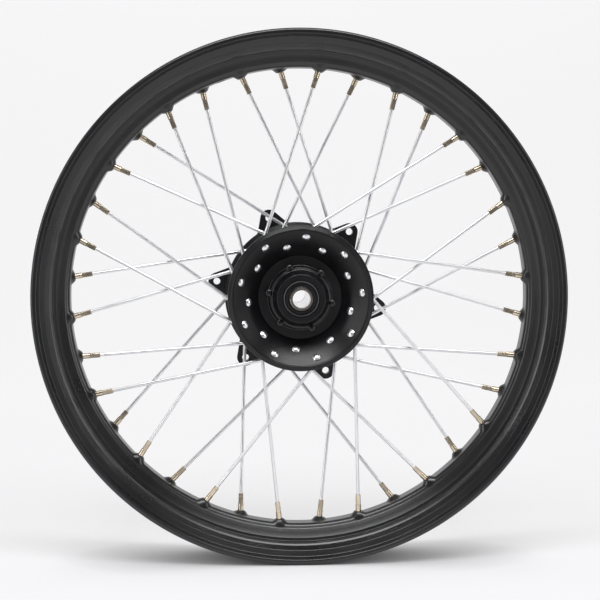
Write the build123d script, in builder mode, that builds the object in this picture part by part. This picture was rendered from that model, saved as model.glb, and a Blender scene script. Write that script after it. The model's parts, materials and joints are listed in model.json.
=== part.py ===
from build123d import *
import os
from math import cos, hypot, radians, sin, tan

# A spoked motorcycle front wheel for a tubed 19 inch tyre and one brake disc.
# Millimetres. The origin is the wheel's centre, halfway between the two rim flanges.
# Y is the spin axis and +Z is up. The brake disc bolts on at the +Y side ("disc side").
# The other side ("plain side") faces -Y. Angles run from +X towards +Z.

os.makedirs("parts", exist_ok=True)

PLAIN = -1
DISC = 1
STANDING = (Align.CENTER, Align.CENTER, Align.MIN)

# ---- Driving dimensions -------------------------------------------------------

# Rim: MT 2.50 x 19
bead_seat_radius = 242.0
flange_height = 14.0
flange_gap = 63.5
rim_width = 82.0
well_inner_radius = 221.3
well_outer_radius = 226.5
valve_hole_radius = 4.15
valve_angle = -250.0

# Lacing: 36 spokes, four families of nine
family_size = 9
family_step = 360.0 / family_size
spoke_radius = 1.65
elbow_radius = 5.0
elbow_behind_wall = 3.0
spoke_end_past_seat = 2.0
head_radius = 3.75
head_rim_height = 0.6
head_height = 2.0
head_lift = 0.1
hub_hole_radius = 1.85
spoke_span = 40.0
inner_hole_radius = 50.0
outer_hole_radius = 59.0

# Nipples and the rim dimples that they sit in
seat_radius = 223.5
seat_axial = 4.0
dimple_height = 5.4
dimple_radius = 7.4
dimple_top_radius = 3.4
dimple_bulge_radius = 6.3
dimple_bulge_height = 3.4
nipple_radius = 2.8
nipple_across_flats = 4.6
nipple_flats_length = 10.0
nipple_tip_height = 22.0
nipple_head_radius = 4.2
nipple_head_height = 3.2
nipple_seat_gap = 0.05
nipple_bore_radius = 1.70
rim_hole_radius = 2.95
rim_recess_radius = 4.6
rim_recess_floor = -1.0
rim_recess_depth = 8.0
slot_width = 1.2
slot_depth = 1.3

# Hub: distances along Y from the centre plane, given for each side
cone_slope = 38.0
cone_start_radius = 41.5
hub_wall = 5.0
plain_cone_start = 11.2
disc_cone_start = 16.0
plain_end_face = 34.0
disc_end_face = 50.0
plain_bell_radius = 70.2
disc_bell_radius = 72.3
disc_bell_inner_radius = 66.5
disc_bell_end = 43.5
waist_fillet = 8.0
cavity_radius = 22.0
shoulder_radius = 14.5
shoulder_length = 5.5
lobe_count = 6
lobe_phase = 50.4
lobe_centre_radius = 30.4
lobe_radius = 3.0
lobe_length = 12.0
lobe_floor = 10.0
mouth_chamfer = 0.6

# Disc lugs
lug_hole_circle_radius = 81.3
lug_hole_radius = 3.4
lug_tip_radius = 8.4
pad_radius = 7.8
lug_root = 68.0
lug_root_fillet = 5.0
lug_back_face = 36.0
disc_face = 45.0

# Bearings: 17 x 35 x 10 deep groove
axle_radius = 8.5
bearing_radius = 17.5
bearing_width = 10.0
bearing_pitch_radius = 13.0
ball_radius = 2.38
ball_count = 9
groove_radius = 2.48
inner_land_radius = 11.6
outer_land_radius = 14.4
cage_inner_radius = 12.25
cage_outer_radius = 13.75
cage_width = 5.8
cage_pocket_radius = 2.47
race_chamfer = 0.5
seat_clearance = 0.02
plain_bearing_inner_face = 16.5
disc_bearing_inner_face = 32.0

# Seals and spacers
seal_width = 7.0
seal_gap = 0.3
seal_lip_radius = 11.06
spacer_radius = 11.0
plain_spacer_end = 40.0
disc_spacer_end = 56.0
distance_tube_radius = 10.8

# ---- Shared geometry ----------------------------------------------------------


def polar_point(radius, angle, axial):
    """A point at a radius and angle about the spin axis, and a distance along it."""
    return Vector(radius * cos(radians(angle)), axial, radius * sin(radians(angle)))


def cone_axial(radius, side):
    """Where a bell's inner cone lies along Y at a radius."""
    start = plain_cone_start if side == PLAIN else disc_cone_start
    return side * (start + (radius - cone_start_radius) * tan(radians(cone_slope)))


def wall_direction(angle, side):
    """The bell wall's normal, from its open side to its back."""
    radial = sin(radians(cone_slope))
    return polar_point(radial, angle, -side * cos(radians(cone_slope)))


class SpokeLine:
    """The bent centre line of one spoke and the seat of its nipple."""

    def __init__(self, side, hole_radius, rim_angle, span):
        hub_angle = rim_angle + span
        self.into_wall = wall_direction(hub_angle, side)
        self.head = polar_point(hole_radius, hub_angle, cone_axial(hole_radius, side))
        self.elbow = self.head + self.into_wall * (hub_wall + elbow_behind_wall)
        self.seat = polar_point(seat_radius, rim_angle, side * seat_axial)
        self.to_hub = (self.elbow - self.seat).normalized()
        self.end = self.seat - self.to_hub * spoke_end_past_seat
        self.seat_plane = Plane(origin=self.seat, z_dir=self.to_hub)
        recess_floor = self.seat + self.to_hub * rim_recess_floor
        self.recess_plane = Plane(origin=recess_floor, z_dir=-self.to_hub)
        self.hole_plane = Plane(origin=self.head, z_dir=self.into_wall)


def family_lines(side, hole_radius, first_rim_angle, span):
    angles = [first_rim_angle - family_step * index for index in range(family_size)]
    return [SpokeLine(side, hole_radius, angle, span) for angle in angles]


families = {
    "plain_inner": family_lines(PLAIN, inner_hole_radius, -15.0, -spoke_span),
    "plain_outer": family_lines(PLAIN, outer_hole_radius, -35.0, spoke_span),
    "disc_inner": family_lines(DISC, inner_hole_radius, -5.0, spoke_span),
    "disc_outer": family_lines(DISC, outer_hole_radius, -25.0, -spoke_span),
}
all_lines = [line for lines in families.values() for line in lines]


def save(piece, name):
    piece.part.label = name
    export_step(piece.part, f"parts/{name}.step")


# ---- Rim ----------------------------------------------------------------------

# One swelling round a nipple hole, with its seat at the origin and +Z to the hub
with BuildPart() as dimple:
    with BuildSketch(Plane.XZ):
        with BuildLine():
            foot = Line((0, 0), (dimple_radius, 0))
            shoulder = (dimple_top_radius, dimple_height)
            bulge = ThreePointArc(foot @ 1, (dimple_bulge_radius, dimple_bulge_height), shoulder)
            Polyline(bulge @ 1, (0, dimple_height), (0, 0))
        make_face()
    revolve(axis=Axis.Z)

# Half of the rim's section, as radius, distance from the centre plane, corner fillet
flange_face = flange_gap / 2
lip_radius = bead_seat_radius + flange_height
rim_edge = rim_width / 2
rim_section = [
    (well_inner_radius, 9.6, 5.0),
    (226.0, 12.0, 2.5),
    (233.6, 20.0, 1.0),
    (235.9, 21.3, 0.6),
    (236.4, 22.8, 0.6),
    (238.4, 26.8, 0.8),
    (238.8, 28.6, 0.6),
    (239.9, 30.2, 0.8),
    (241.0, 33.4, 0.7),
    (243.4, 34.6, 1.0),
    (245.6, 36.2, 2.0),
    (250.4, 40.6, 1.5),
    (lip_radius, rim_edge, 2.6),
    (lip_radius, flange_face, 6.2),
    (bead_seat_radius, flange_face, 2.5),
    (bead_seat_radius - 1.0, 20.5, 3.0),
    (232.6, 12.2, 2.5),
    (well_outer_radius, 8.6, 4.0),
]
rim_outline = rim_section + [(r, -y, fillet_r) for r, y, fillet_r in reversed(rim_section)]

with BuildPart() as rim:
    with BuildSketch(Plane.XY):
        with BuildLine():
            corners = [(r, y) for r, y, fillet_r in rim_outline]
            fillets = [fillet_r for r, y, fillet_r in rim_outline]
            FilletPolyline(*corners, radius=fillets, close=True)
        make_face()
    revolve(axis=Axis.Y)
    with Locations(*[line.seat_plane for line in all_lines]):
        add(dimple.part)
    with Locations(*[line.recess_plane for line in all_lines]):
        Cylinder(rim_recess_radius, rim_recess_depth, align=STANDING, mode=Mode.SUBTRACT)
    with Locations(*[line.seat_plane for line in all_lines]):
        Cylinder(rim_hole_radius, 4 * dimple_height, mode=Mode.SUBTRACT)
    valve_centre = polar_point(well_inner_radius, valve_angle, 0.0)
    with Locations(Plane(origin=valve_centre, z_dir=polar_point(1.0, valve_angle, 0.0))):
        Cylinder(valve_hole_radius, 20.0, mode=Mode.SUBTRACT)
save(rim, "rim")

# ---- Hub ----------------------------------------------------------------------

bore_radius = bearing_radius + seat_clearance
back_shift = hub_wall / cos(radians(cone_slope))
plain_back_axial = cone_axial(66.0, PLAIN) + back_shift
disc_back_axial = cone_axial(disc_bell_radius, DISC) - back_shift
waist_gap = plain_cone_start + disc_cone_start - 2 * back_shift
waist_radius = cone_start_radius - waist_gap / (2 * tan(radians(cone_slope)))
waist_axial = cone_axial(waist_radius, PLAIN) + back_shift
disc_lip_foot = cone_axial(disc_bell_inner_radius, DISC)
hub_outline = [
    (bore_radius, -plain_end_face + mouth_chamfer, 0),
    (bore_radius + mouth_chamfer, -plain_end_face, 0),
    (23.3, -plain_end_face, 1.0),
    (27.0, -23.4, 1.5),
    (29.6, -22.4, 0.8),
    (30.2, -lobe_floor, 2.0),
    (40.4, -lobe_floor, 0.8),
    (cone_start_radius, -plain_cone_start, 0.6),
    (64.8, cone_axial(64.8, PLAIN), 1.5),
    (65.8, -30.8, 1.0),
    (plain_bell_radius, -27.4, 1.6),
    (plain_bell_radius, -24.8, 1.0),
    (66.0, plain_back_axial, 3.0),
    (waist_radius, waist_axial, waist_fillet),
    (disc_bell_radius, disc_back_axial, 1.5),
    (disc_bell_radius, disc_bell_end, 1.0),
    (disc_bell_inner_radius + 0.5, disc_bell_end, 1.0),
    (disc_bell_inner_radius, disc_lip_foot, 3.0),
    (cone_start_radius, disc_cone_start, 0.6),
    (40.4, 14.8, 0.8),
    (30.2, 14.8, 2.0),
    (29.6, 28.0, 0.8),
    (27.0, 29.4, 1.5),
    (23.3, disc_end_face, 1.0),
    (bore_radius + mouth_chamfer, disc_end_face, 0),
    (bore_radius, disc_end_face - mouth_chamfer, 0),
    (bore_radius, disc_bearing_inner_face, 0),
    (shoulder_radius, disc_bearing_inner_face, 0),
    (shoulder_radius, disc_bearing_inner_face - shoulder_length, 0),
    (cavity_radius, disc_bearing_inner_face - shoulder_length, 2.0),
    (cavity_radius, -plain_bearing_inner_face + shoulder_length, 2.0),
    (shoulder_radius, -plain_bearing_inner_face + shoulder_length, 0),
    (shoulder_radius, -plain_bearing_inner_face, 0),
    (bore_radius, -plain_bearing_inner_face, 0),
]

# Plane.XZ faces -Y, so the hub's cross sections are drawn on planes that face +Y
lug_plane = Plane(origin=(0, lug_back_face, 0), x_dir=(1, 0, 0), z_dir=(0, 1, 0))
pad_plane = Plane(origin=(0, disc_bell_end, 0), x_dir=(1, 0, 0), z_dir=(0, 1, 0))
lobe_plane = Plane(origin=(0, -lobe_floor, 0), x_dir=(1, 0, 0), z_dir=(0, -1, 0))
lug_apex = lug_hole_circle_radius + 2 * lug_tip_radius
lug_half_root = (lug_apex - lug_root) * tan(radians(30))

with BuildSketch() as lug_outline:
    with BuildLine():
        FilletPolyline(
            (lug_root, -lug_half_root),
            (lug_apex, 0),
            (lug_root, lug_half_root),
            radius=[0, lug_tip_radius, 0],
            close=True,
        )
    make_face()

with BuildPart() as hub_body:
    with BuildSketch(Plane.XY):
        with BuildLine():
            corners = [(r, y) for r, y, fillet_r in hub_outline]
            fillets = [fillet_r for r, y, fillet_r in hub_outline]
            FilletPolyline(*corners, radius=fillets, close=True)
        make_face()
    revolve(axis=Axis.Y)
    # Six small lobes round the plain side's bearing housing
    with BuildSketch(lobe_plane):
        with PolarLocations(lobe_centre_radius, lobe_count, start_angle=lobe_phase):
            Circle(lobe_radius)
        Circle(lobe_centre_radius - lobe_radius, mode=Mode.SUBTRACT)
    extrude(amount=lobe_length)
    # Six pointed lugs on the disc side's bell
    with BuildSketch(lug_plane):
        Circle(disc_bell_radius)
        Circle(disc_bell_inner_radius + 1.0, mode=Mode.SUBTRACT)
        with PolarLocations(0, lobe_count, start_angle=-lobe_phase):
            add(lug_outline.sketch)
        roots = [v for v in vertices() if abs(hypot(v.X, v.Y) - disc_bell_radius) < 0.01]
        fillet(roots, lug_root_fillet)
    extrude(amount=disc_bell_end - lug_back_face)
    with BuildSketch(pad_plane):
        with PolarLocations(lug_hole_circle_radius, lobe_count, start_angle=-lobe_phase):
            Circle(pad_radius)
    extrude(amount=disc_face - disc_bell_end)
    with BuildSketch(lug_plane):
        with PolarLocations(lug_hole_circle_radius, lobe_count, start_angle=-lobe_phase):
            Circle(lug_hole_radius)
    extrude(amount=disc_face - lug_back_face, mode=Mode.SUBTRACT)
    # Spoke holes through both bells
    with Locations(*[line.hole_plane for line in all_lines]):
        Cylinder(hub_hole_radius, 4 * hub_wall, mode=Mode.SUBTRACT)
save(hub_body, "hub_body")

# ---- Spokes -------------------------------------------------------------------


# The head's top is part of a ball whose centre is on the shank's axis
dome_centre = head_height**2 - head_radius**2 - head_rim_height**2
dome_centre = dome_centre / (2 * (head_height - head_rim_height))
dome_radius = head_height - dome_centre
crown_across = head_radius / 2
head_crown = (crown_across, dome_centre + (dome_radius**2 - crown_across**2) ** 0.5)


def build_spoke(line, name):
    """A headed rod: a short shank through the bell wall, a bend, and a long straight."""
    head_base = line.head - line.into_wall * head_lift
    bend_axis = line.into_wall.cross(-line.to_hub).normalized()
    bend_angle = line.into_wall.get_angle(-line.to_hub)
    tangent = elbow_radius * tan(radians(bend_angle / 2))
    bend_start = line.elbow - line.into_wall * tangent
    bend_end = line.elbow - line.to_hub * tangent
    bend_centre = bend_start + bend_axis.cross(line.into_wall) * elbow_radius
    head_plane = Plane(origin=head_base, x_dir=bend_axis, z_dir=bend_axis.cross(-line.into_wall))
    with BuildPart() as spoke:
        with BuildSketch(Plane(origin=head_base, z_dir=line.into_wall)):
            Circle(spoke_radius)
        extrude(amount=(bend_start - head_base).length)
        with BuildSketch(Plane(origin=bend_start, z_dir=line.into_wall)):
            Circle(spoke_radius)
        revolve(axis=Axis(bend_centre, bend_axis), revolution_arc=bend_angle)
        with BuildSketch(Plane(origin=bend_end, z_dir=-line.to_hub)):
            Circle(spoke_radius)
        extrude(amount=(line.end - bend_end).length)
        with BuildSketch(head_plane):
            with BuildLine():
                edge = Polyline((0, 0), (head_radius, 0), (head_radius, head_rim_height))
                dome = ThreePointArc(edge @ 1, head_crown, (0, head_height))
                Line(dome @ 1, (0, 0))
            make_face()
        revolve(axis=Axis(head_base, -line.into_wall))
    save(spoke, name)


for family, lines in families.items():
    for number, line in enumerate(lines, start=1):
        build_spoke(line, f"{family}_spoke_{number}")

# ---- Nipples ------------------------------------------------------------------

# One nipple, with its seat at the origin and +Z to the hub
nipple_head_top = rim_recess_floor - nipple_seat_gap
nipple_head_bottom = nipple_head_top - nipple_head_height
nipple_round_top = nipple_tip_height - nipple_flats_length
with BuildPart() as nipple:
    with BuildSketch(Plane.XY.offset(nipple_head_bottom)):
        Circle(nipple_head_radius)
    extrude(amount=nipple_head_height)
    chamfer(edges().filter_by(GeomType.CIRCLE).sort_by(Axis.Z)[0], 0.8)
    with BuildSketch(Plane.XY.offset(nipple_head_top)):
        Circle(nipple_radius)
    extrude(amount=nipple_round_top - nipple_head_top)
    with BuildSketch(Plane.XY.offset(nipple_round_top)):
        Circle(nipple_radius)
        Rectangle(nipple_across_flats, nipple_across_flats, mode=Mode.INTERSECT)
    extrude(amount=nipple_flats_length)
    with Locations((0, 0, nipple_head_bottom)):
        Box(slot_width, 3 * nipple_head_radius, 2 * slot_depth, mode=Mode.SUBTRACT)
        Cylinder(nipple_bore_radius, 80.0, mode=Mode.SUBTRACT)

for family, lines in families.items():
    with BuildPart() as nipples:
        with Locations(*[line.seat_plane for line in lines]):
            add(nipple.part)
    save(nipples, f"{family}_nipples")

# ---- Bearings, seals and spacers ----------------------------------------------

# Sections are drawn as radius against distance along Y, and turned about Y


def turned(points):
    with BuildPart() as piece:
        with BuildSketch(Plane.XY):
            with BuildLine():
                Polyline(*points, close=True)
            make_face()
        revolve(axis=Axis.Y)
    return piece


def ring_section(inner, outer, start, end, chamfer_size):
    """A rectangular section with its two outer corners chamfered."""
    return [
        (inner, start),
        (outer - chamfer_size, start),
        (outer, start + chamfer_size),
        (outer, end - chamfer_size),
        (outer - chamfer_size, end),
        (inner, end),
    ]


def build_bearing(side_name, centre):
    groove_centre = (bearing_pitch_radius, centre)
    near_edge = centre - bearing_width / 2
    far_edge = centre + bearing_width / 2
    with BuildPart() as outer_race:
        with BuildSketch(Plane.XY):
            with BuildLine():
                section = ring_section(
                    outer_land_radius, bearing_radius, near_edge, far_edge, race_chamfer
                )
                Polyline(*section, close=True)
            make_face()
            with Locations(groove_centre):
                Circle(groove_radius, mode=Mode.SUBTRACT)
        revolve(axis=Axis.Y)
    save(outer_race, f"{side_name}_bearing_outer_race")

    with BuildPart() as inner_race:
        with BuildSketch(Plane.XY):
            with Locations(((axle_radius + inner_land_radius) / 2, centre)):
                Rectangle(inner_land_radius - axle_radius, bearing_width)
            with Locations(groove_centre):
                Circle(groove_radius, mode=Mode.SUBTRACT)
        revolve(axis=Axis.Y)
    save(inner_race, f"{side_name}_bearing_inner_race")

    ball_ring = Plane(origin=(0, centre, 0), x_dir=(1, 0, 0), z_dir=(0, 1, 0))
    with BuildPart() as balls:
        with Locations(ball_ring):
            with PolarLocations(bearing_pitch_radius, ball_count):
                Sphere(ball_radius)
    save(balls, f"{side_name}_bearing_balls")

    with BuildPart() as cage:
        with BuildSketch(Plane.XY):
            with Locations(groove_centre):
                Rectangle(cage_outer_radius - cage_inner_radius, cage_width)
        revolve(axis=Axis.Y)
        with Locations(ball_ring):
            with PolarLocations(bearing_pitch_radius, ball_count):
                Cylinder(
                    cage_pocket_radius,
                    4 * ball_radius,
                    rotation=(0, 90, 0),
                    mode=Mode.SUBTRACT,
                )
    save(cage, f"{side_name}_bearing_cage")


def build_seal(name, inner_face, side):
    """A rubber seal whose raised rim and lip stand either side of a shallow channel."""
    outer_face = inner_face + side * seal_width
    channel = outer_face - side * 2.2
    section = [
        (seal_lip_radius, inner_face + side * 2.0),
        (seal_lip_radius + 1.2, inner_face),
        (bearing_radius, inner_face),
        (bearing_radius, outer_face - side * 0.4),
        (bearing_radius - 0.4, outer_face),
        (bearing_radius - 1.9, outer_face),
        (bearing_radius - 2.5, channel),
        (seal_lip_radius + 1.6, channel),
        (seal_lip_radius + 0.8, outer_face - side * 0.8),
        (seal_lip_radius, outer_face - side * 1.2),
    ]
    save(turned(section), name)


def build_spacer(name, inner_face, outer_face):
    save(turned(ring_section(axle_radius, spacer_radius, inner_face, outer_face, 0.6)), name)


plain_bearing_outer_face = plain_bearing_inner_face + bearing_width
disc_bearing_outer_face = disc_bearing_inner_face + bearing_width
build_bearing("plain", -(plain_bearing_inner_face + bearing_width / 2))
build_bearing("disc", disc_bearing_inner_face + bearing_width / 2)
build_seal("plain_seal", -(plain_bearing_outer_face + seal_gap), PLAIN)
build_seal("disc_seal", disc_bearing_outer_face + seal_gap, DISC)
build_spacer("plain_spacer", -plain_spacer_end, -plain_bearing_outer_face)
build_spacer("disc_spacer", disc_bearing_outer_face, disc_spacer_end)
tube_section = ring_section(
    axle_radius, distance_tube_radius, -plain_bearing_inner_face, disc_bearing_inner_face, 0.4
)
save(turned(tube_section), "distance_tube")
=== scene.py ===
import json
from collections import namedtuple
from math import atan2, cos, degrees, pi, radians, sin, tan

import bmesh
import bpy
from mathutils import Matrix, Vector


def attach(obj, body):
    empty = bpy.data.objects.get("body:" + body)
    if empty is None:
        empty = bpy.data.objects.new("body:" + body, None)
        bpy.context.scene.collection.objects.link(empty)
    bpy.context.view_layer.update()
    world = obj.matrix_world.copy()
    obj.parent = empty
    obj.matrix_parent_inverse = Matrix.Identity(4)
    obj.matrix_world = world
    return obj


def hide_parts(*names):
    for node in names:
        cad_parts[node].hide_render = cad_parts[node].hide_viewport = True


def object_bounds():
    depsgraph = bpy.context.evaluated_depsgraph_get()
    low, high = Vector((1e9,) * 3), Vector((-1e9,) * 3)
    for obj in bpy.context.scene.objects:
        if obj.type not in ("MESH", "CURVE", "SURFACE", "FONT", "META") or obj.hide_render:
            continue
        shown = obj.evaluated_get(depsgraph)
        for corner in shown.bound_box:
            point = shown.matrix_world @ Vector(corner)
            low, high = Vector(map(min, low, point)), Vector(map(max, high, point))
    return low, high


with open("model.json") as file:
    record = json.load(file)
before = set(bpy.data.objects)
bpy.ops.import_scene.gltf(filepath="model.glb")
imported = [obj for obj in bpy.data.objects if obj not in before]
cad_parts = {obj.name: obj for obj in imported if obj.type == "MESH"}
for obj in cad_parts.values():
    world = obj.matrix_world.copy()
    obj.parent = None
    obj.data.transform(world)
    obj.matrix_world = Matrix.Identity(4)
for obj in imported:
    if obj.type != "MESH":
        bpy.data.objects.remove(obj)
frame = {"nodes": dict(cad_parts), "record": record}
cad_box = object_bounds()

# The rim's and the hub nose's shapes are given in millimetres, all else in metres
MM = 0.001
nodes = frame["nodes"]

# ---- Material helpers ---------------------------------------------------------


class Shader:
    """A Principled material whose extra nodes are added by short calls."""

    def __init__(self, name, colour, roughness, metallic=0.0, **sockets):
        self.material = bpy.data.materials.new(name)
        self.material.use_nodes = True
        self.tree = self.material.node_tree
        self.body = self.tree.nodes["Principled BSDF"]
        self.body.inputs["Base Color"].default_value = (*colour, 1.0)
        self.body.inputs["Roughness"].default_value = roughness
        self.body.inputs["Metallic"].default_value = metallic
        for socket, value in sockets.items():
            self.body.inputs[socket.replace("_", " ")].default_value = value
        self.coordinates = self.tree.nodes.new("ShaderNodeTexCoord").outputs["Object"]
        self.last_normal = None

    def link(self, source, target):
        self.tree.links.new(source, target)

    def noise(self, scale, detail=3.0, stretch=(1.0, 1.0, 1.0)):
        """Noise from 0 to 1, fixed to the piece."""
        mapping = self.tree.nodes.new("ShaderNodeMapping")
        mapping.inputs["Scale"].default_value = stretch
        self.link(self.coordinates, mapping.inputs["Vector"])
        texture = self.tree.nodes.new("ShaderNodeTexNoise")
        texture.inputs["Scale"].default_value = scale
        texture.inputs["Detail"].default_value = detail
        self.link(mapping.outputs["Vector"], texture.inputs["Vector"])
        return texture.outputs["Fac"]

    def remap(self, value, low, high, start=0.3, end=0.7):
        """The value spread from start..end to low..high."""
        remap = self.tree.nodes.new("ShaderNodeMapRange")
        remap.inputs["From Min"].default_value = start
        remap.inputs["From Max"].default_value = end
        remap.inputs["To Min"].default_value = low
        remap.inputs["To Max"].default_value = high
        self.link(value, remap.inputs["Value"])
        return remap.outputs["Result"]

    def multiply(self, first, second):
        """The product of two values."""
        product = self.tree.nodes.new("ShaderNodeMath")
        product.operation = "MULTIPLY"
        self.link(first, product.inputs[0])
        self.link(second, product.inputs[1])
        return product.outputs["Value"]

    def rough(self, value, low, high):
        """Roughness that follows a value."""
        self.link(self.remap(value, low, high), self.body.inputs["Roughness"])
        return self

    def tint(self, value, first, second):
        """Base colour that follows a value between two colours."""
        mix = self.tree.nodes.new("ShaderNodeMix")
        mix.data_type = "RGBA"
        mix.inputs["A"].default_value = (*first, 1.0)
        mix.inputs["B"].default_value = (*second, 1.0)
        self.link(self.remap(value, 0.0, 1.0), mix.inputs["Factor"])
        self.link(mix.outputs["Result"], self.body.inputs["Base Color"])
        return self

    def bump(self, height, depth, strength):
        """Fine relief, its depth in metres, over any relief already there."""
        bump = self.tree.nodes.new("ShaderNodeBump")
        bump.inputs["Strength"].default_value = strength
        bump.inputs["Distance"].default_value = depth
        self.link(height, bump.inputs["Height"])
        if self.last_normal is not None:
            self.link(self.last_normal, bump.inputs["Normal"])
        self.last_normal = bump.outputs["Normal"]
        self.link(self.last_normal, self.body.inputs["Normal"])
        return self

    def axle_distance(self):
        """Distance from the spin axis, in metres."""
        flat = self.tree.nodes.new("ShaderNodeVectorMath")
        flat.operation = "MULTIPLY"
        flat.inputs[1].default_value = (1.0, 0.0, 1.0)
        self.link(self.coordinates, flat.inputs[0])
        length = self.tree.nodes.new("ShaderNodeVectorMath")
        length.operation = "LENGTH"
        self.link(flat.outputs["Vector"], length.inputs[0])
        return length.outputs["Value"]

    def paint_highlight_ring(self, distance, radius, half_width, colour):
        """A thin ring of painted highlight in another colour, over the colour that is already
        linked.
        """
        compare = self.tree.nodes.new("ShaderNodeMath")
        compare.operation = "COMPARE"
        compare.inputs[1].default_value = radius
        compare.inputs[2].default_value = half_width
        self.link(distance, compare.inputs[0])
        mix = self.tree.nodes.new("ShaderNodeMix")
        mix.data_type = "RGBA"
        self.link(compare.outputs["Value"], mix.inputs["Factor"])
        self.link(self.body.inputs["Base Color"].links[0].from_socket, mix.inputs["A"])
        mix.inputs["B"].default_value = (*colour, 1.0)
        self.link(mix.outputs["Result"], self.body.inputs["Base Color"])
        return self

    def rings(self, scale):
        """Fine lines round the spin axis, as a lathe leaves them."""
        split = self.tree.nodes.new("ShaderNodeSeparateXYZ")
        self.link(self.coordinates, split.inputs["Vector"])
        place = self.tree.nodes.new("ShaderNodeCombineXYZ")
        self.link(self.axle_distance(), place.inputs["X"])
        self.link(split.outputs["Y"], place.inputs["Y"])
        texture = self.tree.nodes.new("ShaderNodeTexNoise")
        texture.inputs["Scale"].default_value = scale
        texture.inputs["Detail"].default_value = 2.0
        self.link(place.outputs["Vector"], texture.inputs["Vector"])
        return texture.outputs["Fac"]


def rim_paint():
    shader = Shader("satin_black_rim", (0.0045, 0.0045, 0.0055), 0.30, Specular_IOR_Level=0.75)
    shader.rough(shader.noise(14.0, 4.0), 0.26, 0.34)
    shader.tint(shader.noise(9.0, 5.0), (0.004, 0.004, 0.005), (0.006, 0.006, 0.007))
    shader.bump(shader.noise(900.0, 2.0), 0.00006, 0.6)
    shader.bump(shader.noise(70.0, 2.0), 0.00012, 0.25)
    return shader.material


def hub_paint():
    shader = Shader("satin_black_hub", (0.003, 0.003, 0.004), 0.32, Specular_IOR_Level=0.5)
    shader.rough(shader.noise(40.0, 4.0), 0.27, 0.38)
    shader.tint(shader.noise(24.0, 5.0), (0.0025, 0.0025, 0.0035), (0.004, 0.004, 0.005))
    shader.bump(shader.noise(700.0, 3.0), 0.00010, 0.7)
    shader.bump(shader.noise(120.0, 3.0), 0.00020, 0.3)
    return shader.material


def bright_spoke():
    shader = Shader("plated_spoke_steel", (0.94, 0.94, 0.95), 0.32, 1.0)
    shader.rough(shader.noise(30.0, 3.0), 0.30, 0.35)
    shader.tint(shader.noise(20.0, 4.0), (0.92, 0.92, 0.94), (0.96, 0.96, 0.97))
    shader.bump(shader.noise(2500.0, 2.0), 0.000002, 0.2)
    return shader.material


def champagne_nipple():
    shader = Shader("champagne_nipple_plate", (0.76, 0.65, 0.50), 0.26, 1.0)
    shader.rough(shader.noise(220.0, 3.0), 0.18, 0.34)
    shader.tint(shader.noise(140.0, 4.0), (0.66, 0.56, 0.43), (0.84, 0.73, 0.57))
    shader.bump(shader.noise(1200.0, 2.0), 0.00004, 0.6)
    return shader.material


def turned_spacer():
    shader = Shader("turned_spacer_steel", (0.50, 0.46, 0.43), 0.22, 1.0)
    rings = shader.rings(2600.0)
    shader.rough(rings, 0.10, 0.28)
    shader.tint(shader.noise(90.0, 3.0), (0.46, 0.42, 0.39), (0.56, 0.52, 0.49))
    shader.bump(rings, 0.00002, 0.5)
    return shader.material


def ground_bearing():
    shader = Shader("ground_bearing_steel", (0.66, 0.66, 0.68), 0.12, 1.0)
    rings = shader.rings(4000.0)
    shader.rough(rings, 0.08, 0.18)
    shader.tint(shader.noise(60.0, 3.0), (0.62, 0.62, 0.64), (0.70, 0.70, 0.72))
    shader.bump(rings, 0.00001, 0.4)
    return shader.material


# Drawing marks run along the tube
ALONG_AXLE = (1.0, 0.05, 1.0)


def drawn_tube():
    shader = Shader("drawn_tube_alloy", (0.70, 0.70, 0.71), 0.16, 1.0)
    shader.rough(shader.noise(300.0, 3.0, ALONG_AXLE), 0.08, 0.24)
    shader.tint(shader.noise(80.0, 3.0), (0.66, 0.66, 0.67), (0.76, 0.76, 0.77))
    shader.bump(shader.noise(900.0, 2.0, ALONG_AXLE), 0.00001, 0.4)
    return shader.material


# A painted highlight on the seal's outer edge, a lighter ring in its colour; radius and half
# width in metres
PAINTED_HIGHLIGHT_RADIUS = 0.0164
PAINTED_HIGHLIGHT_HALF_WIDTH = 0.0003
PAINTED_SEAL_HIGHLIGHT = (0.10, 0.10, 0.105)


def seal_rubber():
    shader = Shader("nitrile_seal_rubber", (0.008, 0.008, 0.009), 0.40)
    shader.rough(shader.noise(180.0, 3.0), 0.32, 0.48)
    shader.tint(shader.noise(90.0, 3.0), (0.007, 0.007, 0.008), (0.011, 0.011, 0.012))
    shader.bump(shader.noise(1400.0, 2.0), 0.00004, 0.6)
    # Painted highlight: a lighter ring of base colour round the seal's outer edge
    shader.paint_highlight_ring(shader.axle_distance(), PAINTED_HIGHLIGHT_RADIUS, PAINTED_HIGHLIGHT_HALF_WIDTH, PAINTED_SEAL_HIGHLIGHT)
    return shader.material


def cage_polymer():
    shader = Shader("moulded_cage_polymer", (0.55, 0.45, 0.30), 0.5)
    shader.rough(shader.noise(200.0, 3.0), 0.42, 0.60)
    shader.tint(shader.noise(90.0, 3.0), (0.50, 0.41, 0.27), (0.60, 0.50, 0.34))
    shader.bump(shader.noise(900.0, 2.0), 0.00004, 0.5)
    return shader.material


finishes = {
    "rim_paint": rim_paint(),
    "hub_paint": hub_paint(),
    "spoke_steel": bright_spoke(),
    "nipple_plate": champagne_nipple(),
    "seal_rubber": seal_rubber(),
    "spacer_steel": turned_spacer(),
    "tube_alloy": drawn_tube(),
    "bearing_steel": ground_bearing(),
    "cage_polymer": cage_polymer(),
}


for subpart in frame["record"]["subparts"]:
    materials = nodes[subpart["node"]].data.materials
    materials.clear()
    materials.append(finishes[subpart["material_slot"]])

# ---- Mesh helpers -------------------------------------------------------------


def polar(radius, angle, axial):
    """A point at a radius and an angle about the spin axis, in degrees from +X towards +Z."""
    return Vector((radius * cos(radians(angle)), axial, radius * sin(radians(angle))))


def angle_about_axle(point):
    """The angle that polar would need for the point."""
    return degrees(atan2(point.z, point.x)) % 360.0


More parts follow.
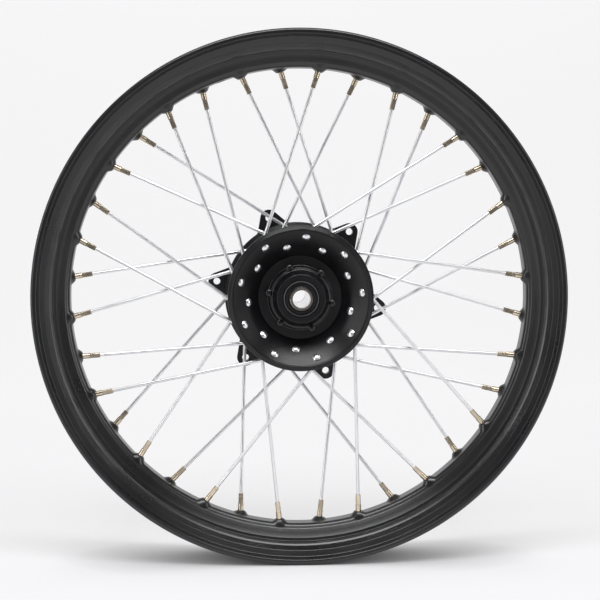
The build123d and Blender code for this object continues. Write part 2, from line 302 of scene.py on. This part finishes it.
def add_piece(name, mesh, material):
    """A smooth object in the scene, made from a mesh in metres."""
    mesh.polygons.foreach_set("use_smooth", [True] * len(mesh.polygons))
    mesh.update()
    mesh.materials.append(material)
    piece = bpy.data.objects.new(name, mesh)
    bpy.context.collection.objects.link(piece)
    return piece


def rounded(corners):
    """A closed outline of (radius, axial, fillet) corners with its fillets drawn as arcs."""
    outline = []
    for index, (radius, axial, fillet) in enumerate(corners):
        here = Vector((radius, axial))
        before = (Vector(corners[index - 1][:2]) - here).normalized()
        after = (Vector(corners[(index + 1) % len(corners)][:2]) - here).normalized()
        half = before.angle(after) / 2
        centre = here + (before + after).normalized() * fillet / sin(half)
        first = here + before * fillet / tan(half)
        last = here + after * fillet / tan(half)
        start = first - centre
        turn = start.angle_signed(last - centre)
        steps = max(2, round(abs(turn) * fillet / ARC_SPACING))
        for step in range(steps + 1):
            outline.append(centre + Matrix.Rotation(-turn * step / steps, 2) @ start)
    return outline


def divided(outline, is_fine):
    """The same outline with no long stretches, and shorter ones where is_fine says."""
    points = []
    for index, point in enumerate(outline):
        following = outline[(index + 1) % len(outline)]
        spacing = FINE_SPACING if is_fine(point) and is_fine(following) else WIDE_SPACING
        pieces = max(1, round((following - point).length / spacing))
        points += [point.lerp(following, piece / pieces) for piece in range(pieces)]
    return points


def turned_mesh(name, outline, segments):
    """A closed outline of (radius, axial) points turned about the spin axis."""
    count = len(outline)
    vertices = []
    for segment in range(segments):
        angle = 360.0 * segment / segments
        vertices += [polar(point.x, angle, point.y) for point in outline]
    faces = []
    for segment in range(segments):
        here = segment * count
        there = (segment + 1) % segments * count
        for index in range(count):
            following = (index + 1) % count
            faces.append((here + index, here + following, there + following, there + index))
    mesh = bpy.data.meshes.new(name)
    mesh.from_pydata(vertices, [], faces)
    return mesh


# ---- Rim ----------------------------------------------------------------------

# The spokes' layout, as in the CAD model
SEAT_RADIUS = 223.5
SEAT_AXIAL = 4.0
CONE_SLOPE = radians(38.0)
CONE_START_RADIUS = 41.5
ELBOW_DEPTH = 8.0
SPOKES_IN_FAMILY = 9
SPOKE_STEP = 360.0 / SPOKES_IN_FAMILY
Family = namedtuple("Family", "side cone_start hole_radius first_angle span")
PLAIN_INNER = Family(-1, 11.2, 50.0, -15.0, -40.0)
PLAIN_OUTER = Family(-1, 11.2, 59.0, -35.0, 40.0)
DISC_INNER = Family(1, 16.0, 50.0, -5.0, 40.0)
DISC_OUTER = Family(1, 16.0, 59.0, -25.0, -40.0)

# One half of the rim's section: radius, distance from the middle plane, fillet
RIM_HALF_SECTION = (
    (221.3, 9.6, 5.0),
    (226.0, 12.0, 2.5),
    (233.4, 20.2, 0.8),
    (236.4, 21.0, 0.8),
    (237.9, 26.4, 0.7),
    (239.5, 27.4, 0.6),
    (242.6, 34.0, 1.0),
    (248.2, 36.0, 1.0),
    (250.8, 40.6, 1.2),
    (256.0, 40.8, 2.6),
    (256.0, 31.75, 6.2),
    (242.0, 31.75, 2.5),
    (241.0, 20.5, 3.0),
    (232.6, 12.2, 2.5),
    (226.5, 8.6, 4.0),
)

# Spacing of the section's points along fillets, on the well's hub side and elsewhere
ARC_SPACING = 0.7
FINE_SPACING = 0.95
WIDE_SPACING = 5.0
RIM_SEGMENTS = 1440

# The well's hub side lies within these, and nearer the hub than a V in the section
WELL_REACH = 15.5
WELL_TOP_RADIUS = 230.5
WELL_V_RADIUS = 224.0
WELL_V_SLOPE = 0.45

# Swellings and holes, their depths along the nipple's line and along the valve's
DIMPLE_FOOT_RADIUS = 8.4
DIMPLE_TOP_RADIUS = 3.3
DIMPLE_HEIGHT = 5.5
DIMPLE_LEAN_ALLOWANCE = 1.6
NIPPLE_HOLE_RADIUS = 3.05
NIPPLE_HOLE_DEPTH = 1.6
VALVE_ANGLE = 110.0
VALVE_HOLE_RADIUS = 4.15
VALVE_HOLE_DEPTH = 4.5


def nipple_seats():
    """Each nipple's seat point and its direction towards the hub."""
    seats = []
    for family in (PLAIN_INNER, PLAIN_OUTER, DISC_INNER, DISC_OUTER):
        hole_depth = (family.hole_radius - CONE_START_RADIUS) * tan(CONE_SLOPE)
        axial = family.side * (family.cone_start + hole_depth)
        for index in range(SPOKES_IN_FAMILY):
            rim_angle = family.first_angle - SPOKE_STEP * index
            hub_angle = rim_angle + family.span
            into_wall = polar(sin(CONE_SLOPE), hub_angle, -family.side * cos(CONE_SLOPE))
            elbow = polar(family.hole_radius, hub_angle, axial) + into_wall * ELBOW_DEPTH
            seat = polar(SEAT_RADIUS, rim_angle, family.side * SEAT_AXIAL)
            seats.append((seat, (elbow - seat).normalized()))
    return seats


def smoothstep(value, low, high):
    """0 below low, 1 above high, and a smooth rise between them."""
    value = min(1.0, max(0.0, (value - low) / (high - low)))
    return value * value * (3 - 2 * value)


def on_well(point):
    """Whether an outline point lies on the well's hub side."""
    axial = abs(point.y)
    hub_side_of_v = point.x < WELL_V_RADIUS + axial * WELL_V_SLOPE
    return axial < WELL_REACH and point.x < WELL_TOP_RADIUS and hub_side_of_v


def well_vertices(mesh, outline, segments):
    """The vertices on the well's hub side in some of the rim's segments."""
    columns = [index for index, point in enumerate(outline) if on_well(point)]
    for segment in segments:
        start = segment % RIM_SEGMENTS * len(outline)
        for column in columns:
            yield mesh.vertices[start + column]


def raise_dimples(mesh, outline):
    """Lifts the well's hub side into a rounded swelling about each nipple's line."""
    foot = DIMPLE_FOOT_RADIUS * DIMPLE_LEAN_ALLOWANCE
    reach = int(RIM_SEGMENTS * foot / (2 * pi * SEAT_RADIUS))
    for seat, to_hub in nipple_seats():
        middle = round(angle_about_axle(seat) * RIM_SEGMENTS / 360.0)
        for vertex in well_vertices(mesh, outline, range(middle - reach, middle + reach + 1)):
            offset = vertex.co - seat
            height = offset.dot(to_hub)
            across = (offset - to_hub * height).length
            swell = 1.0 - smoothstep(across, DIMPLE_TOP_RADIUS, DIMPLE_FOOT_RADIUS)
            lift = max(0.0, DIMPLE_HEIGHT - height) * swell
            if across < NIPPLE_HOLE_RADIUS:
                lift -= NIPPLE_HOLE_DEPTH
            vertex.co += to_hub * lift


def sink_valve_hole(mesh, outline):
    """Presses the well's hub side outward inside the valve hole."""
    outward = polar(1.0, VALVE_ANGLE, 0.0)
    for vertex in well_vertices(mesh, outline, range(RIM_SEGMENTS)):
        along = vertex.co.dot(outward)
        if along > 0 and (vertex.co - outward * along).length < VALVE_HOLE_RADIUS:
            vertex.co += outward * VALVE_HOLE_DEPTH


def build_rim():
    """The rim as one smooth turned section, with a swelling raised round each nipple."""
    mirrored = [(radius, -axial, fillet) for radius, axial, fillet in reversed(RIM_HALF_SECTION)]
    outline = divided(rounded([*RIM_HALF_SECTION, *mirrored]), on_well)
    mesh = turned_mesh("rim_shell", outline, RIM_SEGMENTS)
    raise_dimples(mesh, outline)
    sink_valve_hole(mesh, outline)
    mesh.transform(Matrix.Scale(MM, 4))
    rim_shell = add_piece("rim_shell", mesh, finishes["rim_paint"])
    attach(rim_shell, "wheel")
    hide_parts("rim")


build_rim()

# ---- Hub nose -----------------------------------------------------------------

LOBE_COUNT = 6
LOBE_PHASE = 50.4
LOBE_CIRCLE_RADIUS = 30.7
LOBE_AXIAL = -21.9
LOBE_HALF_SIZE = (3.9, 2.4, 3.9)


def build_nose_lobes():
    """Rounded ends on the six lobes of the plain side's bearing housing."""
    builder = bmesh.new()
    for index in range(LOBE_COUNT):
        angle = LOBE_PHASE + index * 360.0 / LOBE_COUNT
        centre = polar(LOBE_CIRCLE_RADIUS, angle, LOBE_AXIAL)
        placed = Matrix.Translation(centre) @ Matrix.Diagonal((*LOBE_HALF_SIZE, 1.0))
        bmesh.ops.create_uvsphere(
            builder, u_segments=32, v_segments=20, radius=1.0, matrix=Matrix.Scale(MM, 4) @ placed
        )
    mesh = bpy.data.meshes.new("nose_lobes")
    builder.to_mesh(mesh)
    builder.free()
    nose_lobes = add_piece("nose_lobes", mesh, finishes["hub_paint"])
    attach(nose_lobes, "wheel")


build_nose_lobes()

# ---- Stage: floor, light and camera, in metres --------------------------------

WHEEL_CENTRE = Vector((0.0, 0.0, 0.0))
FLOOR_HEIGHT = cad_box[0][2]

# The backdrop: where its floor begins, where its wall stands, and the bend between them
BACKDROP_FRONT = -3.0
BACKDROP_BACK = 2.2
BACKDROP_TOP = 3.4
BACKDROP_HALF_WIDTH = 5.0
BEND_RADIUS = 0.9
BEND_STEPS = 24

# Its glow at the wheel and at GLOW_DEPTH behind it, which evens out the lights' own
NEAR_GLOW = 0.61
FAR_GLOW = 0.70
GLOW_DEPTH = 1.3

# In front of the wheel the glow fades, so that black paint doesn't mirror it
FADE_START = -0.35
FADE_END = -1.0
FADED_GLOW = 0.15

# How far from the wheel a painted contact shadow darkens the floor's glow
PAINTED_SHADOW_REACH = 0.11
PAINTED_SHADOW_SAMPLES = 8

WORLD_STRENGTH = 0.13
OVERHEAD_PLACE = (0.0, -0.9, 1.5)
OVERHEAD_SIZE = (1.6, 0.7)
OVERHEAD_POWER = 26.0
LEFT_PLACE = (-1.7, -1.1, 0.3)
LEFT_POWER = 10.0
RIGHT_PLACE = (1.7, -1.1, 0.3)
RIGHT_POWER = 9.0
SIDE_SIZE = (0.30, 1.6)

# The camera stands a little to the left of the axle and a little above it
CAMERA_DISTANCE = 1.5385
CAMERA_AZIMUTH = radians(-3.15)
CAMERA_ELEVATION = radians(3.5)
CAMERA_AIM = Vector((0.0006, 0.0, -0.0032))
FOCAL_LENGTH = 94.7
SENSOR_WIDTH = 36.0
FAR_CLIP = 20.0


def backdrop_material():
    """A pale sweep that glows evenly behind the wheel and fades out in front of it, with a
    painted contact shadow darkening its glow near the wheel.
    """
    shader = Shader("pale_backdrop", (0.36, 0.355, 0.37), 0.9, Specular_IOR_Level=0.0)
    shader.body.inputs["Emission Color"].default_value = (1.0, 1.0, 1.0, 1.0)
    split = shader.tree.nodes.new("ShaderNodeSeparateXYZ")
    shader.link(shader.coordinates, split.inputs["Vector"])
    depth = split.outputs["Y"]
    glow = shader.remap(depth, NEAR_GLOW, FAR_GLOW, 0.0, GLOW_DEPTH)
    fade = shader.remap(depth, FADED_GLOW, 1.0, FADE_END, FADE_START)
    # Painted contact shadow: ambient occlusion darkens the glow where the floor meets the wheel
    painted_contact_shadow = shader.tree.nodes.new("ShaderNodeAmbientOcclusion")
    painted_contact_shadow.samples = PAINTED_SHADOW_SAMPLES
    painted_contact_shadow.inputs["Distance"].default_value = PAINTED_SHADOW_REACH
    glow = shader.multiply(shader.multiply(glow, fade), painted_contact_shadow.outputs["AO"])
    shader.link(glow, shader.body.inputs["Emission Strength"])
    return shader.material


def sweep_backdrop():
    """A pale floor that curves up into a wall behind the wheel."""
    bend_start = BACKDROP_BACK - BEND_RADIUS
    outline = [(BACKDROP_FRONT, FLOOR_HEIGHT), (bend_start, FLOOR_HEIGHT)]
    for step in range(1, BEND_STEPS + 1):
        angle = pi / 2 * step / BEND_STEPS
        height = FLOOR_HEIGHT + BEND_RADIUS * (1 - cos(angle))
        outline.append((bend_start + BEND_RADIUS * sin(angle), height))
    outline.append((BACKDROP_BACK, BACKDROP_TOP))
    sides = (-BACKDROP_HALF_WIDTH, BACKDROP_HALF_WIDTH)
    points = [(across, depth, height) for across in sides for depth, height in outline]
    count = len(outline)
    faces = [(i, i + 1, count + i + 1, count + i) for i in range(count - 1)]
    mesh = bpy.data.meshes.new("backdrop")
    mesh.from_pydata(points, [], faces)
    backdrop = add_piece("backdrop", mesh, backdrop_material())


def softbox(name, place, size, power):
    """A rectangular area light aimed at the wheel's centre."""
    data = bpy.data.lights.new(name, "AREA")
    data.shape = "RECTANGLE"
    data.size, data.size_y = size
    data.energy = power
    light = bpy.data.objects.new(name, data)
    light.location = place
    light.rotation_euler = (WHEEL_CENTRE - light.location).to_track_quat("-Z", "Y").to_euler()
    bpy.context.collection.objects.link(light)


def light_world():
    """A faint even light from all round."""
    world = bpy.data.worlds.new("studio")
    world.use_nodes = True
    background = world.node_tree.nodes["Background"]
    background.inputs["Color"].default_value = (1.0, 1.0, 1.0, 1.0)
    background.inputs["Strength"].default_value = WORLD_STRENGTH
    bpy.context.scene.world = world


def place_camera():
    """The photograph's viewpoint."""
    toward = Vector((
        sin(CAMERA_AZIMUTH) * cos(CAMERA_ELEVATION),
        -cos(CAMERA_AZIMUTH) * cos(CAMERA_ELEVATION),
        sin(CAMERA_ELEVATION),
    ))
    data = bpy.data.cameras.new("camera")
    data.sensor_width = SENSOR_WIDTH
    data.lens = FOCAL_LENGTH
    data.clip_end = FAR_CLIP
    camera = bpy.data.objects.new("camera", data)
    camera.location = toward * CAMERA_DISTANCE
    camera.rotation_euler = (CAMERA_AIM - camera.location).to_track_quat("-Z", "Y").to_euler()
    bpy.context.collection.objects.link(camera)
    bpy.context.scene.camera = camera


sweep_backdrop()
light_world()
softbox("overhead_softbox", OVERHEAD_PLACE, OVERHEAD_SIZE, OVERHEAD_POWER)
softbox("left_softbox", LEFT_PLACE, SIDE_SIZE, LEFT_POWER)
softbox("right_softbox", RIGHT_PLACE, SIDE_SIZE, RIGHT_POWER)
place_camera()
bpy.context.scene.view_settings.view_transform = "Standard"
